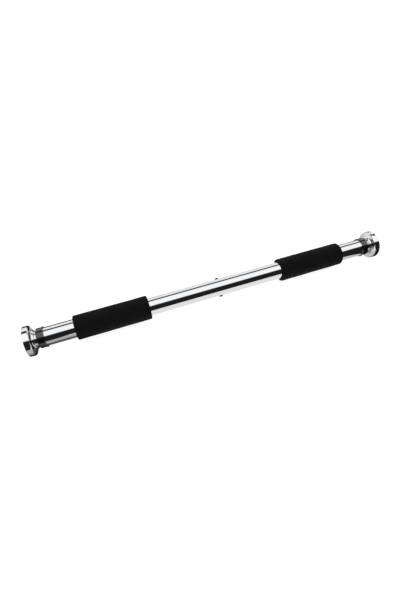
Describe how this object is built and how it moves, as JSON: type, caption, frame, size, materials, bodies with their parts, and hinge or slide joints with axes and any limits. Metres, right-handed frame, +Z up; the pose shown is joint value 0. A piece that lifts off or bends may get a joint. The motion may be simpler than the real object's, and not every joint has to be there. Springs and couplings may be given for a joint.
{
  "type": "pull up bar",
  "caption": "Telescopic doorway pull-up bar: chromed tube with foam grips, screw-driven inner tubes and rubber-padded chrome end cups.",
  "frame": {"origin": "middle of the bar, on its axis", "axes": "+X along the bar towards the end with the right-hand thread, +Z up, +Y away from the user"},
  "size_m": [0.675, 0.052, 0.052],
  "materials": {
    "chrome": "mirror-bright chrome plating on drawn steel tube",
    "cup_chrome": "mirror-bright chrome plating on pressed steel",
    "foam": "matte closed-cell nitrile foam",
    "collar_plastic": "glossy moulded black plastic",
    "pad_rubber": "moulded rubber with a ringed tread",
    "plain_steel": "machined steel, lightly greased",
    "zinc_steel": "bright zinc plating",
    "rivet_steel": "blackened steel",
    "nylon": "natural nylon"
  },
  "bodies": {
    "bar": {"outer_tube": "chrome", "centre_plug": "plain_steel", "centre_rivets": "rivet_steel", "screw_pins": "plain_steel", "left_grip": "foam", "left_collar": "collar_plastic", "left_drive_screw": "plain_steel", "left_stop_washer": "plain_steel", "left_stop_nut": "zinc_steel", "right_grip": "foam", "right_collar": "collar_plastic", "right_drive_screw": "plain_steel", "right_stop_washer": "plain_steel", "right_stop_nut": "zinc_steel"},
    "left_glide": {"left_glide_ring": "nylon"},
    "left_end": {"left_inner_tube": "chrome", "left_drive_nut": "plain_steel", "left_nut_pins": "plain_steel", "left_end_plug": "plain_steel", "left_end_cup": "cup_chrome", "left_cup_washer": "zinc_steel", "left_cup_bolt": "zinc_steel", "left_pad": "pad_rubber"},
    "right_glide": {"right_glide_ring": "nylon"},
    "right_end": {"right_inner_tube": "chrome", "right_drive_nut": "plain_steel", "right_nut_pins": "plain_steel", "right_end_plug": "plain_steel", "right_end_cup": "cup_chrome", "right_cup_washer": "zinc_steel", "right_cup_bolt": "zinc_steel", "right_pad": "pad_rubber"}
  },
  "joints": [
    {"name": "left_extend", "type": "slide", "parent": "bar", "child": "left_glide", "axis": [-1, 0, 0], "range_m": [0, 0.12]},
    {"name": "left_turn", "type": "hinge", "parent": "left_glide", "child": "left_end", "pos_m": [0, 0, 0], "axis": [1, 0, 0], "range_deg": [0, 10800]},
    {"name": "right_extend", "type": "slide", "parent": "bar", "child": "right_glide", "axis": [1, 0, 0], "range_m": [0, 0.12]},
    {"name": "right_turn", "type": "hinge", "parent": "right_glide", "child": "right_end", "pos_m": [0, 0, 0], "axis": [1, 0, 0], "range_deg": [0, 10800]}
  ],
  "couplings": [
    {"joint": "left_extend", "follows": "left_turn", "m_per_rad": 0.00063662},
    {"joint": "right_extend", "follows": "right_turn", "m_per_rad": 0.00063662}
  ]
}
